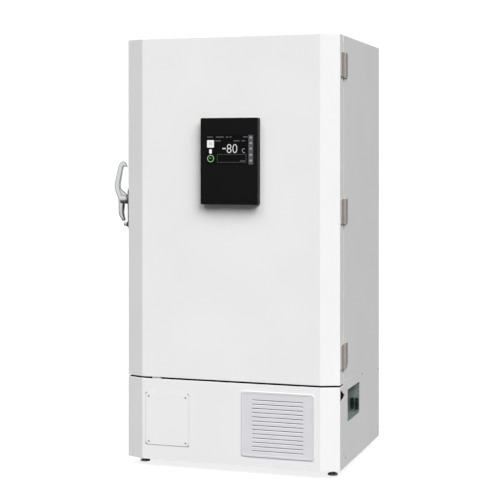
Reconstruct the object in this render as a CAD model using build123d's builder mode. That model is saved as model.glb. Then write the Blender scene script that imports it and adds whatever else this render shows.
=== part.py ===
from build123d import *

import os
from math import cos, radians, sin

os.makedirs("parts", exist_ok=True)

# Ultra low temperature upright freezer, in millimetres: +X right, +Y to the back, +Z up.
# The origin is on the floor, under the middle of the overall footprint. In the sizes below,
# heights are from the floor, depths are from the door's front face, and sideways places are
# from the cabinet's centreline. An inset is measured in from the side, edge or rear it names.

# Overall
cabinet_width = 1026.0
cabinet_height = 1993.0
body_depth = 836.0  # door front to rear panel
wall_spacer_depth = 46.0  # keeps the rear panel off the wall
floor_gap = 36.0  # floor to the underside of the base
skin = 1.5  # painted sheet steel
seat_gap = 0.3  # between pieces that meet but move apart
running_clearance = 0.05  # radial, pin in hole

# Front shape, shared by the door and the base cover
corner_width = 84.0  # the slanted vertical corners, seen from the front
corner_depth = 32.0
door_thickness = 84.0
door_bottom = 419.0
door_gap = 8.0  # slot between the door and the base cover
door_overhang = 7.0  # the door reaches this far below the insulated cabinet
cover_depth = 90.0  # base cover, front to its rear edge

# Chamber and its front frame
gasket_gap = 14.0  # door's back to the front frame
side_wall = 78.0  # insulated walls round the chamber
top_wall = 82.0
floor_wall = 85.0
back_wall = 86.0
rebate = 20.0  # step round the chamber's mouth, which the inner doors close on
rebate_depth = 38.0
ledge = 14.0  # frame behind the step
mullion_height = 28.0
liner = 1.5

# Shelves
shelf_count = 3
shelf_sheet = 1.5
shelf_lip = 20.0
shelf_margin = 20.0  # in front of and behind a shelf
shelf_side_gap = 2.0
pilaster_inset = 90.0  # from the chamber's mouth and from its back
pilaster_width = 24.0
pilaster_thickness = 6.0
pilaster_slot_pitch = 100.0
lug_size = 12.0

# Inner doors
inner_door_thickness = 22.0
inner_door_recess = 4.0  # behind the front frame's face
inner_door_gap = 4.0  # round each inner door
inner_hinge_gap = 1.5  # between an inner door's round edge and the frame
pintle_radius = 4.0
pintle_reach = 20.0
pintle_end_gap = 1.0
inner_gasket_width = 8.0
inner_gasket_inset = 2.0
pull_inset = 24.0
pull_width = 32.0
pull_height = 120.0
pull_thickness = 8.0
pull_wall = 5.0  # left and right of its finger pocket
pull_round = 8.0

# Outer door
liner_pad_depth = 6.0
liner_pad_inset = 75.0
liner_pad_round = 20.0
door_gasket_width = 28.0
door_gasket_inset = 13.0
door_gasket_round = 4.0

# Hinges
hinge_height = 114.0
low_hinge_inset = 122.0  # from the door's bottom to the hinge's middle
top_hinge_inset = 136.0  # from the cabinet's top
middle_hinge_drop = 3.0  # below halfway between the other two
hinge_radius = 6.5
hinge_axis_out = 7.0  # barrel's axis outside the cabinet's side
hinge_depth = 91.0
hinge_pin_radius = 4.0
hinge_leaf = 5.0
knuckle_gap = 0.4
leaf_gap = 1.0  # between the door's leaf and the frame's knuckles
door_leaf_start = 42.0
frame_leaf_end = 155.0
leaf_corner = 5.0
low_leaf_corner = 18.0

# Handle: a cast lever that turns about a shaft on the door's left side. Each section of the
# casting, from the bent tip down: height above the shaft, its middle from the door's side,
# width, depth, and how far it is turned from level towards the door, in degrees.
lever_pivot_depth = 55.0
lever_pivot_height = 1244.0
lever_sections = (
    (157.0, 18.0, 13.0, 13.0, 80.0),
    (162.0, 41.0, 25.0, 16.0, 40.0),
    (138.0, 51.0, 25.0, 17.0, 0.0),
    (104.0, 58.0, 26.0, 19.0, 0.0),
    (56.0, 64.0, 28.0, 21.0, 0.0),
    (30.0, 57.0, 28.0, 24.0, 0.0),
    (6.0, 47.5, 27.0, 28.0, 0.0),
    (-50.0, 45.0, 26.0, 30.0, 0.0),
    (-80.0, 41.5, 23.0, 27.0, 0.0),
    (-103.0, 35.0, 16.0, 20.0, 0.0),
)
lever_round = 0.34  # corner radius of a section, as a share of its depth
lever_web_thickness = 16.0  # the web that slopes from the grip down to the boss
lever_web_out = 58.0  # its outer end, inside the grip
lever_web_rise = 54.0
lever_boss_radius = 22.0
lever_boss_out = 44.0  # the boss's outer end, inside the casting
lever_boss_taper = 6.0
lever_boss_flare = 4.0  # the web meets the boss's end this much inside its edge
lever_shaft_radius = 10.0
handle_plate = 5.0
handle_plate_width = 48.0
handle_plate_round = 14.0
handle_plate_shift = 2.0  # the plate's middle behind the shaft
handle_plate_rise = 48.0  # above the shaft
tongue_thickness = 6.0
tongue_height = 20.0
tongue_gap = 4.0  # from the plate
tongue_end = 134.0
tongue_wall = 8.0  # round the shaft
strike_plate = 3.0
strike_roller_radius = 7.0
strike_roller_depth = 120.0
strike_width = 14.0
strike_half_length = 12.0
strike_drop = 20.0  # from the roller's axis down to the strike's floor
strike_foot = 34.0  # its plate behind and below the roller
lock_drop = 119.0  # below the shaft
lock_radius = 8.5
lock_plug_radius = 6.0
lock_boss = 10.0  # its boss on the plate
lock_boss_wall = 3.0
lock_head = 16.5
lock_margin = 17.0  # plate below the lock
key_slot_width = 2.2
key_slot_length = 9.0
key_slot_depth = 6.0

# Control panel
panel_depth = 38.0
panel_centre = 11.0
panel_bottom = 1226.0
panel_width = 274.0
panel_height = 394.0
panel_round = 5.0
panel_face_thickness = 6.0
panel_edge_round = 1.5
display_shift = 4.0  # right of the panel's middle
display_drop = 76.0  # below the panel's top
display_width = 226.0
display_height = 138.0
display_recess = 0.8
display_thickness = 3.0
panel_groove_lift = 16.0  # the groove above the bottom edge
panel_groove_inset = 6.0
panel_groove_height = 2.0
panel_groove_depth = 1.2

# Base
pan_height = 95.0
pan_sheet = 3.0
skirt_bottom = 44.0
frame_setback = 40.0
post_size = 40.0
plate_inset = 102.0  # from the left side
plate_bottom = 105.0
plate_width = 214.0
plate_height = 242.0
plate_round = 15.0
plate_thickness = 2.0
plate_screw_inset = 16.0
cover_hole_margin = 12.0  # how far the grille overlaps its hole in the cover; the plate twice that
screw_radius = 4.5
screw_head = 1.8
screw_taper = 20.0

grille_inset = 110.0  # from the right side
grille_bottom = 81.0
grille_width = 345.0
grille_height = 297.0
grille_round = 14.0
grille_flange = 3.0
grille_field_inset = 9.0
grille_field_recess = 1.0
grille_thickness = 5.0
grille_wall = 2.5
grille_tray_depth = 20.0
grille_clearance = 1.0
slot_count = 13
slot_pitch = 19.2
slot_height = 6.0
slot_length = 241.0
slot_slant = 5.0
slot_field_shift = 5.5  # slots lie this much below the grille's middle

# A finger notch where the cover meets the side panel, from its corner to its rear tip
notch_start_gap = 4.0  # behind the slanted corner
notch_reach = 30.0  # behind the cover's rear edge
notch_top_drop = 10.0  # its heights below the cover's top
notch_bottom_drop = 66.0
notch_tip_drop = 49.0

# Service recess in the right side
recess_setback = 82.0  # behind the cover
recess_length = 241.0
recess_bottom = 231.0
recess_height = 147.0
recess_reach = 70.0
recess_sheet = 1.2
recess_flange = 8.0
switch_insets = (12.0, 35.0)  # in from the right side
switch_lift = 42.0  # above the recess's floor
switch_body_width = 14.0
switch_body_height = 52.0
switch_body_depth = 14.0
toggle_radius = 6.0
toggle_length = 7.0
toggle_reach = 17.0
toggle_blade = 4.0
toggle_clearance = 0.4
toggle_lean = 20.0  # degrees from level at rest

# Screws of the right side panel: inset from its front or rear edge, and height
front_side_screws = ((8.0, 104.0), (36.0, 79.0))
rear_side_screws = ((24.0, 378.0), (29.0, 88.0))
top_side_screw_drop = 21.0  # halfway along, below the top edge

# Pad between the door and the cover
rest_inset = 132.0  # from the left side
rest_width = 45.0
rest_front = 4.0
rest_depth = 40.0
rest_round = 4.0

# Machine compartment
condenser_width = 306.0
condenser_front = 48.0
condenser_depth = 44.0
condenser_height = 262.0
fin_count = 18
fin_slit = 6.0
fin_slit_depth = 10.0
shroud_depth = 30.0
fan_radius = 112.0
fan_tip_gap = 5.0
fan_hub_radius = 26.0
fan_hub_depth = 22.0
fan_blades = 5
fan_blade_chord = 40.0
fan_blade_sheet = 2.5
fan_blade_root = 4.0  # the blade's foot inside the hub
fan_pitch = 60.0  # degrees, from flat along the shaft
fan_shaft_radius = 4.0
motor_gap = 6.0
motor_radius = 34.0
motor_length = 60.0
strut_width = 12.0
first_compressor = (263.0, 366.0)  # in from the left side and from the rear panel
second_compressor = (403.0, 236.0)  # in from the right side and from the rear panel
compressor_radius = 92.0
compressor_height = 215.0
compressor_dome = 41.0
compressor_neck = 76.0
compressor_lift = 16.0
compressor_base = (175.0, 138.0)
compressor_base_round = 20.0

# Rear
louvre_columns = 2
louvre_rows = 9
louvre_pitch = 24.0
louvre_margin = 183.0  # left and right of the louvres
louvre_column_gap = 60.0
louvre_height = 8.0
louvre_drop = 24.0  # below the middle of the base
inlet_inset = 113.0  # from the right side
inlet_height = 335.0
inlet_width = 50.0
inlet_tall = 30.0
inlet_depth = 34.0
inlet_flange = 3.0
inlet_flange_margin = (14.0, 10.0)
inlet_wall = (5.0, 4.0)
inlet_pin = (2.0, 6.0)
inlet_pin_pitch = 13.0
port_inset = 263.0  # from the left side
port_height = 1440.0
port_radius = 20.0
port_clearance = 0.2
port_cap_radius = 32.0
port_cap_depth = 14.0
port_cap_taper = 8.0
spacer_inset = 133.0  # from each side
spacer_drop = 133.0  # below the top
spacer_width = 60.0
spacer_tall = 100.0
spacer_sheet = 3.0
anchor_hole_radius = 5.5

# Feet and casters
foot_inset = 54.0  # from each side
foot_setback = 20.0  # behind the cover's rear edge
foot_disc_radius = 23.0
foot_disc = 8.0
foot_stem_radius = 6.0
foot_nut_radius = 11.0
foot_nut = 8.0
foot_tube_radius = 14.0
caster_inset = 90.0  # from each side
caster_front_depth = 215.0
caster_rear_inset = 86.0
caster_lift = 3.0  # the front casters hang free while the levelling feet carry the cabinet
caster_seat = 86.0  # underside of the rear casters' mounting
caster_boss_radius = 24.0
caster_stem_radius = 6.0
caster_plate = 3.6
caster_cheek = 3.0
caster_cheek_half = 19.0  # a cheek's half width under the plate
caster_cheek_end = 9.0  # and round the axle
caster_trail = 22.0
wheel_radius = 35.0
wheel_width = 24.0
wheel_side_gap = 1.0
axle_radius = 4.0
tyre_round = 4.0

# Worked out from the sizes above
half_width = cabinet_width / 2
handle_reach = max(out + width / 2 for _, out, width, _, _ in lever_sections)
hinge_reach = hinge_axis_out + hinge_radius
centre_x = (handle_reach - hinge_reach) / 2
front_y = (panel_depth - body_depth - wall_spacer_depth) / 2
inside = half_width - skin
case_bottom = door_bottom + door_overhang
cover_top = door_bottom - door_gap
cabinet_front = door_thickness + gasket_gap
rebate_floor = cabinet_front + rebate_depth
chamber_front = rebate_floor + ledge
chamber_back = body_depth - back_wall
chamber_bottom = case_bottom + floor_wall
chamber_top = cabinet_height - top_wall
chamber_middle = (chamber_bottom + chamber_top) / 2
chamber_height = chamber_top - chamber_bottom
chamber_depth = chamber_back - chamber_front
half_chamber = half_width - side_wall
port_x = port_inset - half_width


def level(height, x=0.0, depth=0.0):
    """Horizontal plane: +x right, +y to the back."""
    return Plane(origin=(centre_x + x, front_y + depth, height))


def facing_front(depth, x=0.0, height=0.0):
    """Upright plane that faces the front: +x right, +y up."""
    return Plane(origin=(centre_x + x, front_y + depth, height), x_dir=(1, 0, 0), z_dir=(0, -1, 0))


def facing_right(x, depth=0.0, height=0.0):
    """Upright plane that faces right: +x to the back, +y up."""
    return Plane(origin=(centre_x + x, front_y + depth, height), x_dir=(0, 1, 0), z_dir=(1, 0, 0))


def rectangle_between(low_x, high_x, low_y, high_y, mode=Mode.ADD):
    """Rectangle between two limits each way, in the sketch that is open."""
    with Locations(((low_x + high_x) / 2, (low_y + high_y) / 2)):
        Rectangle(high_x - low_x, high_y - low_y, mode=mode)


def front_outline(depth):
    """Plan of a front panel with slanted corners, from its rear edge round the front."""
    flat = half_width - corner_width
    right = [(flat, 0), (half_width, corner_depth), (half_width, depth)]
    left = [(-x, y) for x, y in reversed(right)]
    return left + right


# Insulated cabinet

with BuildPart() as outer_case:
    with BuildSketch(facing_front(body_depth)):
        rectangle_between(-half_width, half_width, case_bottom, cabinet_height)
        rectangle_between(-inside, inside, case_bottom + skin, cabinet_height - skin, mode=Mode.SUBTRACT)
    extrude(amount=body_depth - cabinet_front)
outer_case.part.label = "outer_case"
export_step(outer_case.part, "parts/outer_case.step")

with BuildPart() as front_frame:
    with BuildSketch(facing_front(chamber_front)):
        rectangle_between(-inside, inside, case_bottom + skin, cabinet_height - skin)
        rectangle_between(-half_chamber, half_chamber, chamber_bottom, chamber_top, mode=Mode.SUBTRACT)
    extrude(amount=chamber_front - cabinet_front)
    with BuildSketch(facing_front(rebate_floor)):
        rectangle_between(
            -half_chamber - rebate, half_chamber + rebate, chamber_bottom - rebate, chamber_top + rebate
        )
    extrude(amount=rebate_depth, mode=Mode.SUBTRACT)
    with BuildSketch(facing_front(chamber_front)):
        rectangle_between(
            -half_chamber, half_chamber, chamber_middle - mullion_height / 2, chamber_middle + mullion_height / 2
        )
    extrude(amount=ledge)
front_frame.part.label = "front_frame"
export_step(front_frame.part, "parts/front_frame.step")

with BuildPart() as inner_liner:
    with BuildSketch(facing_front(chamber_back + liner)):
        rectangle_between(
            -half_chamber - liner, half_chamber + liner, chamber_bottom - liner, chamber_top + liner
        )
    extrude(amount=chamber_depth + liner)
    offset(amount=-liner, openings=inner_liner.faces().sort_by(Axis.Y)[0])
    with BuildSketch(facing_front(chamber_back + liner)):
        with Locations((port_x, port_height)):
            Circle(port_radius + port_clearance)
    extrude(amount=liner, mode=Mode.SUBTRACT)
inner_liner.part.label = "inner_liner"
export_step(inner_liner.part, "parts/inner_liner.step")

with BuildPart() as insulation:
    with BuildSketch(facing_front(body_depth - skin)):
        rectangle_between(-inside, inside, case_bottom + skin, cabinet_height - skin)
    extrude(amount=body_depth - skin - chamber_front)
    with BuildSketch(facing_front(chamber_back + liner)):
        rectangle_between(
            -half_chamber - liner, half_chamber + liner, chamber_bottom - liner, chamber_top + liner
        )
    extrude(amount=chamber_depth + liner, mode=Mode.SUBTRACT)
    with BuildSketch(facing_front(body_depth)):
        with Locations((port_x, port_height)):
            Circle(port_radius + port_clearance)
    extrude(amount=body_depth - chamber_back, mode=Mode.SUBTRACT)
insulation.part.label = "insulation"
export_step(insulation.part, "parts/insulation.step")

with BuildPart() as rear_panel:
    with BuildSketch(facing_front(body_depth)):
        rectangle_between(-inside, inside, case_bottom + skin, cabinet_height - skin)
        with Locations((port_x, port_height)):
            Circle(port_radius + port_clearance, mode=Mode.SUBTRACT)
    extrude(amount=skin)
rear_panel.part.label = "rear_panel"
export_step(rear_panel.part, "parts/rear_panel.step")

# A plug through the rear wall for probe cables, with a flange on the outside
with BuildPart() as access_port:
    with BuildSketch(facing_front(body_depth)):
        with Locations((port_x, port_height)):
            Circle(port_radius)
    extrude(amount=body_depth - chamber_back)
    with BuildSketch(facing_front(body_depth + port_cap_depth)):
        with Locations((port_x, port_height)):
            Circle(port_cap_radius)
    extrude(amount=port_cap_depth, taper=-port_cap_taper)
access_port.part.label = "access_port"
export_step(access_port.part, "parts/access_port.step")

# Folded brackets that hold the cabinet off the wall; the hole takes an anchor strap's bolt
spacer_x = half_width - spacer_inset
spacer_height = cabinet_height - spacer_drop

with BuildPart() as wall_spacers:
    for side in (-1, 1):
        with BuildSketch(facing_right(side * spacer_x - spacer_width / 2)):
            rectangle_between(
                body_depth,
                body_depth + wall_spacer_depth,
                spacer_height - spacer_tall / 2,
                spacer_height + spacer_tall / 2,
            )
            rectangle_between(
                body_depth + spacer_sheet,
                body_depth + wall_spacer_depth - spacer_sheet,
                spacer_height - spacer_tall / 2,
                spacer_height + spacer_tall / 2 - spacer_sheet,
                mode=Mode.SUBTRACT,
            )
        extrude(amount=spacer_width)
        with BuildSketch(facing_front(body_depth + wall_spacer_depth, side * spacer_x, spacer_height)):
            Circle(anchor_hole_radius)
        extrude(amount=spacer_sheet, mode=Mode.SUBTRACT)
wall_spacers.part.label = "wall_spacers"
export_step(wall_spacers.part, "parts/wall_spacers.step")

# Shelves, on lugs that stand out of the slotted pilasters
shelf_pitch = chamber_height / (shelf_count + 1)
shelf_heights = [chamber_bottom + shelf_pitch * (n + 1) for n in range(shelf_count)]
shelf_half_width = half_chamber - pilaster_thickness - shelf_side_gap
pilaster_depths = (chamber_front + pilaster_inset, chamber_back - pilaster_inset)
pilaster_slots = int(chamber_height // pilaster_slot_pitch) - 1

with BuildPart() as shelf_pilasters:
    for side in (-1, 1):
        wall = side * half_chamber - (pilaster_thickness if side > 0 else 0)
        for depth in pilaster_depths:
            with BuildSketch(facing_right(wall, depth)):
                rectangle_between(
                    -pilaster_width / 2, pilaster_width / 2, chamber_bottom + rebate, chamber_top - rebate
                )
                with Locations((0, chamber_middle)):
                    with GridLocations(0, pilaster_slot_pitch, 1, pilaster_slots):
                        Rectangle(pilaster_width / 2, pilaster_width / 4, mode=Mode.SUBTRACT)
            extrude(amount=pilaster_thickness)
            for height in shelf_heights:
                lug = side * (half_chamber - pilaster_thickness) - (lug_size if side > 0 else 0)
                with BuildSketch(facing_right(lug, depth)):
                    rectangle_between(
                        -pilaster_width / 2,
                        pilaster_width / 2,
                        height - shelf_sheet - lug_size,
                        height - shelf_sheet,
                    )
                extrude(amount=lug_size)
shelf_pilasters.part.label = "shelf_pilasters"
export_step(shelf_pilasters.part, "parts/shelf_pilasters.step")


# Each shelf is a sheet tray with its front and rear edges folded down
with BuildPart() as shelves:
    for height in shelf_heights:
        with BuildSketch(facing_right(-shelf_half_width)):
            front, back = chamber_front + shelf_margin, chamber_back - shelf_margin
            rectangle_between(front, back, height - shelf_lip, height)
            rectangle_between(
                front + shelf_sheet, back - shelf_sheet, height - shelf_lip, height - shelf_sheet, mode=Mode.SUBTRACT
            )
        extrude(amount=2 * shelf_half_width)
shelves.part.label = "shelves"
export_step(shelves.part, "parts/shelves.step")

# Inner doors: slabs with a round hinge edge that turns on pins above and below
inner_front = cabinet_front + inner_door_recess
inner_round = inner_door_thickness / 2
pintle_x = half_chamber + rebate - inner_hinge_gap - inner_round
pintle_depth = inner_front + inner_round
inner_left = -half_chamber - rebate + inner_door_gap
inner_spans = {
    "lower": (chamber_bottom - rebate + inner_door_gap, chamber_middle - inner_door_gap / 2),
    "upper": (chamber_middle + inner_door_gap / 2, chamber_top + rebate - inner_door_gap),
}

with BuildPart() as inner_hinges:
    bracket = inner_door_gap - 2 * knuckle_gap
    lowest, highest = chamber_bottom - rebate, chamber_top + rebate
    with BuildSketch(level(lowest, pintle_x, pintle_depth)):
        Circle(pintle_radius)
    extrude(amount=inner_door_gap + pintle_reach)
    with BuildSketch(level(highest, pintle_x, pintle_depth)):
        Circle(pintle_radius)
    extrude(amount=-inner_door_gap - pintle_reach)
    with BuildSketch(level(chamber_middle - bracket / 2)):
        rectangle_between(
            pintle_x,
            half_chamber + rebate,
            pintle_depth - inner_round + pintle_end_gap,
            pintle_depth + inner_round - pintle_end_gap,
        )
        with Locations((pintle_x, pintle_depth)):
            Circle(inner_round - pintle_end_gap)
    extrude(amount=bracket)
    with BuildSketch(level(chamber_middle - inner_door_gap / 2 - pintle_reach, pintle_x, pintle_depth)):
        Circle(pintle_radius)
    extrude(amount=inner_door_gap + 2 * pintle_reach)
inner_hinges.part.label = "inner_hinges"
export_step(inner_hinges.part, "parts/inner_hinges.step")

inner_gasket_depth = rebate_floor - seat_gap - inner_front - inner_door_thickness
for place, (low, high) in inner_spans.items():
    with BuildPart() as inner_door:
        with BuildSketch(level(low)):
            rectangle_between(inner_left, pintle_x, inner_front, inner_front + inner_door_thickness)
            with Locations((pintle_x, pintle_depth)):
                Circle(inner_round)
        extrude(amount=high - low)
        with BuildSketch(level(low), level(high - pintle_reach - pintle_end_gap)):
            with Locations((pintle_x, pintle_depth)):
                Circle(pintle_radius + running_clearance)
        extrude(amount=pintle_reach + pintle_end_gap, mode=Mode.SUBTRACT)
    inner_door.part.label = f"inner_door_{place}"
    export_step(inner_door.part, f"parts/inner_door_{place}.step")

    with BuildPart() as inner_gasket:
        with BuildSketch(facing_front(rebate_floor - seat_gap)):
            left, right = inner_left + inner_gasket_inset, pintle_x - seat_gap
            bottom, top = low + inner_gasket_inset, high - inner_gasket_inset
            rectangle_between(left, right, bottom, top)
            rectangle_between(
                left + inner_gasket_width,
                right - inner_gasket_width,
                bottom + inner_gasket_width,
                top - inner_gasket_width,
                mode=Mode.SUBTRACT,
            )
        extrude(amount=inner_gasket_depth)
    inner_gasket.part.label = f"inner_gasket_{place}"
    export_step(inner_gasket.part, f"parts/inner_gasket_{place}.step")

    # A moulded pull near the free edge, with a finger pocket
    with BuildPart() as inner_pull:
        pull_x, pull_z = inner_left + pull_inset + pull_width / 2, (low + high) / 2
        with BuildSketch(facing_front(inner_front, pull_x, pull_z)):
            RectangleRounded(pull_width, pull_height, pull_round)
        extrude(amount=pull_thickness)
        with BuildSketch(facing_front(inner_front - pull_wall / 2, pull_x, pull_z)):
            RectangleRounded(pull_width - 2 * pull_wall, pull_height - 2 * pull_wall, pull_round - pull_wall / 2)
        extrude(amount=pull_thickness, mode=Mode.SUBTRACT)
    inner_pull.part.label = f"inner_pull_{place}"
    export_step(inner_pull.part, f"parts/inner_pull_{place}.step")

# Outer door
door_height = cabinet_height - door_bottom

with BuildPart() as door_skin:
    with BuildSketch(level(door_bottom)):
        with BuildLine():
            Polyline(*front_outline(door_thickness), close=True)
        make_face()
    extrude(amount=door_height)
    offset(amount=-skin, openings=door_skin.faces().sort_by(Axis.Y)[-1])
door_skin.part.label = "door_skin"
export_step(door_skin.part, "parts/door_skin.step")

with BuildPart() as door_core:
    with BuildSketch(level(door_bottom + skin)):
        with BuildLine():
            Polyline(*front_outline(door_thickness), close=True)
        make_face()
        offset(amount=-skin)
    extrude(amount=door_height - 2 * skin)
door_core.part.label = "door_core"
export_step(door_core.part, "parts/door_core.step")

with BuildPart() as door_liner:
    with BuildSketch(facing_front(door_thickness)):
        rectangle_between(-inside, inside, door_bottom + skin, cabinet_height - skin)
    extrude(amount=skin)
    with BuildSketch(facing_front(door_thickness)):
        rectangle_between(
            -half_width + liner_pad_inset,
            half_width - liner_pad_inset,
            door_bottom + liner_pad_inset,
            cabinet_height - liner_pad_inset,
        )
        fillet(vertices(), radius=liner_pad_round)
    extrude(amount=-liner_pad_depth, taper=30)
door_liner.part.label = "door_liner"
export_step(door_liner.part, "parts/door_liner.step")

with BuildPart() as door_gasket:
    with BuildSketch(facing_front(cabinet_front - seat_gap)):
        with Locations((0, (case_bottom + cabinet_height) / 2)):
            outer = (cabinet_width - 2 * door_gasket_inset, cabinet_height - case_bottom - 2 * door_gasket_inset)
            RectangleRounded(*outer, door_gasket_width)
            RectangleRounded(
                outer[0] - 2 * door_gasket_width,
                outer[1] - 2 * door_gasket_width,
                door_gasket_width / 4,
                mode=Mode.SUBTRACT,
            )
    extrude(amount=gasket_gap - seat_gap)
    fillet(door_gasket.faces().sort_by(Axis.Y)[-1].edges(), radius=door_gasket_round)
door_gasket.part.label = "door_gasket"
export_step(door_gasket.part, "parts/door_gasket.step")

# Hinges: the frame's leaf holds the pin and the outer knuckles, the door's the middle one
hinge_x = half_width + hinge_axis_out
knuckle = hinge_height / 3
low_hinge = door_bottom + low_hinge_inset
top_hinge = cabinet_height - top_hinge_inset
hinge_heights = (low_hinge, (low_hinge + top_hinge) / 2 - middle_hinge_drop, top_hinge)

with BuildPart() as frame_hinge_leaves:
    for middle in hinge_heights:
        with BuildSketch(level(middle - hinge_height / 2)):
            rectangle_between(half_width, half_width + hinge_leaf, hinge_depth, frame_leaf_end)
            with Locations((hinge_x, hinge_depth)):
                Circle(hinge_radius)
        extrude(amount=hinge_height)
    rear_corners = frame_hinge_leaves.edges().filter_by(Axis.X).group_by(Axis.Y)[-1].sort_by(Axis.Z)
    chamfer(rear_corners[1:], length=leaf_corner)
    lowest = frame_hinge_leaves.edges().filter_by(Axis.X).group_by(Axis.Y)[-1].sort_by(Axis.Z)[0]
    chamfer(lowest, length=low_leaf_corner)
    for middle in hinge_heights:
        with BuildSketch(level(middle - knuckle / 2 - knuckle_gap, hinge_x, hinge_depth)):
            Circle(hinge_radius + leaf_gap)
        extrude(amount=knuckle + 2 * knuckle_gap, mode=Mode.SUBTRACT)
        with BuildSketch(level(middle - knuckle, hinge_x, hinge_depth)):
            Circle(hinge_pin_radius)
        extrude(amount=2 * knuckle)
frame_hinge_leaves.part.label = "frame_hinge_leaves"
export_step(frame_hinge_leaves.part, "parts/frame_hinge_leaves.step")

with BuildPart() as door_hinge_leaves:
    for middle in hinge_heights:
        with BuildSketch(level(middle - hinge_height / 2)):
            rectangle_between(
                half_width, half_width + hinge_leaf, door_leaf_start, hinge_depth - hinge_radius - leaf_gap
            )
        extrude(amount=hinge_height)
    chamfer(
        door_hinge_leaves.edges().filter_by(Axis.X).group_by(Axis.Y)[0], length=leaf_corner
    )
    for middle in hinge_heights:
        with BuildSketch(level(middle - knuckle / 2)):
            rectangle_between(half_width, half_width + hinge_leaf, hinge_depth - 2 * hinge_radius, hinge_depth)
            with Locations((hinge_x, hinge_depth)):
                Circle(hinge_radius)
                Circle(hinge_pin_radius + running_clearance, mode=Mode.SUBTRACT)
        extrude(amount=knuckle)
door_hinge_leaves.part.label = "door_hinge_leaves"
export_step(door_hinge_leaves.part, "parts/door_hinge_leaves.step")

# Handle: the plate, with the shaft's bearing hole and the lock's boss
lock_height = lever_pivot_height - lock_drop
plate_low, plate_high = lock_height - lock_margin, lever_pivot_height + handle_plate_rise

with BuildPart() as handle_plate_part:
    with BuildSketch(facing_right(-half_width - handle_plate)):
        with Locations((lever_pivot_depth + handle_plate_shift, (plate_low + plate_high) / 2)):
            RectangleRounded(handle_plate_width, plate_high - plate_low, handle_plate_round)
        with Locations((lever_pivot_depth, lever_pivot_height)):
            Circle(lever_shaft_radius + running_clearance, mode=Mode.SUBTRACT)
    extrude(amount=handle_plate)
    with BuildSketch(facing_right(-half_width - handle_plate, lever_pivot_depth, lock_height)):
        Circle(lock_radius + lock_boss_wall)
    extrude(amount=-lock_boss)
    with BuildSketch(facing_right(-half_width, lever_pivot_depth, lock_height)):
        Circle(lock_plug_radius + running_clearance)
    extrude(amount=-handle_plate - lock_boss, mode=Mode.SUBTRACT)
handle_plate_part.part.label = "handle_plate"
export_step(handle_plate_part.part, "parts/handle_plate.step")

# The lever: one casting lofted through rounded sections, from the bent tip down the leaning grip
# to the tapering lower end, with a web and a boss towards the plate, and the shaft in the boss
tongue_right = -half_width - handle_plate - tongue_gap
boss_end = tongue_right - tongue_thickness

with BuildPart() as handle_lever:
    for height, out, width, depth, turn in lever_sections:
        section = Plane(
            origin=(centre_x - half_width - out, front_y + lever_pivot_depth, lever_pivot_height + height),
            x_dir=(cos(radians(turn)), 0, -sin(radians(turn))),
            z_dir=(sin(radians(turn)), 0, cos(radians(turn))),
        )
        with BuildSketch(section):
            RectangleRounded(width, depth, lever_round * depth)
    loft()
    with BuildSketch(facing_front(lever_pivot_depth + lever_web_thickness / 2, 0, lever_pivot_height)):
        with BuildLine():
            Polyline(
                (-half_width - lever_web_out, lever_web_rise),
                (boss_end, lever_boss_radius - lever_boss_flare),
                (boss_end, 0),
                (-half_width - lever_web_out, 0),
                close=True,
            )
        make_face()
    extrude(amount=lever_web_thickness)
    with BuildSketch(facing_right(boss_end, lever_pivot_depth, lever_pivot_height)):
        Circle(lever_boss_radius)
    extrude(amount=-(boss_end + half_width + lever_boss_out), taper=-lever_boss_taper)
    with BuildSketch(facing_right(-half_width - lever_boss_out, lever_pivot_depth, lever_pivot_height)):
        Circle(lever_shaft_radius)
    extrude(amount=lever_boss_out - seat_gap)
handle_lever.part.label = "handle_lever"
export_step(handle_lever.part, "parts/handle_lever.step")

with BuildPart() as latch_tongue:
    with BuildSketch(facing_right(tongue_right - tongue_thickness)):
        with Locations((lever_pivot_depth, lever_pivot_height)):
            Circle(lever_shaft_radius + tongue_wall)
        rectangle_between(
            lever_pivot_depth, tongue_end, lever_pivot_height - tongue_height / 2, lever_pivot_height + tongue_height / 2
        )
        fillet(vertices().group_by(Axis.X)[-1], radius=tongue_height / 4)
        with Locations((lever_pivot_depth, lever_pivot_height)):
            Circle(lever_shaft_radius, mode=Mode.SUBTRACT)
    extrude(amount=tongue_thickness)
latch_tongue.part.label = "latch_tongue"
export_step(latch_tongue.part, "parts/latch_tongue.step")

# The strike on the cabinet's side: a roller between its plate and an outer cheek
roller_height = lever_pivot_height - tongue_height / 2 - seat_gap - strike_roller_radius
roller_top = roller_height + strike_roller_radius
strike_outer = -half_width - strike_plate - strike_width - strike_plate
strike_front, strike_back = strike_roller_depth - strike_half_length, strike_roller_depth + strike_half_length
with BuildPart() as latch_strike:
    with BuildSketch(facing_right(-half_width - strike_plate)):
        rectangle_between(
            cabinet_front + strike_plate, strike_roller_depth + strike_foot, roller_height - strike_foot, roller_top
        )
        fillet(vertices(), radius=2 * strike_plate)
    extrude(amount=strike_plate)
    with BuildSketch(facing_right(strike_outer)):
        rectangle_between(strike_front, strike_back, roller_height - strike_drop, roller_top - seat_gap)
        fillet(vertices().group_by(Axis.Y)[-1], radius=strike_half_length / 2)
    extrude(amount=strike_plate)
    with BuildSketch(level(roller_height - strike_drop)):
        rectangle_between(strike_outer, -half_width - strike_plate, strike_front, strike_back)
    extrude(amount=strike_plate)
    with BuildSketch(facing_right(strike_outer, strike_roller_depth, roller_height)):
        Circle(strike_roller_radius)
    extrude(amount=strike_width + strike_plate * 1.5)
latch_strike.part.label = "latch_strike"
export_step(latch_strike.part, "parts/latch_strike.step")

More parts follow.
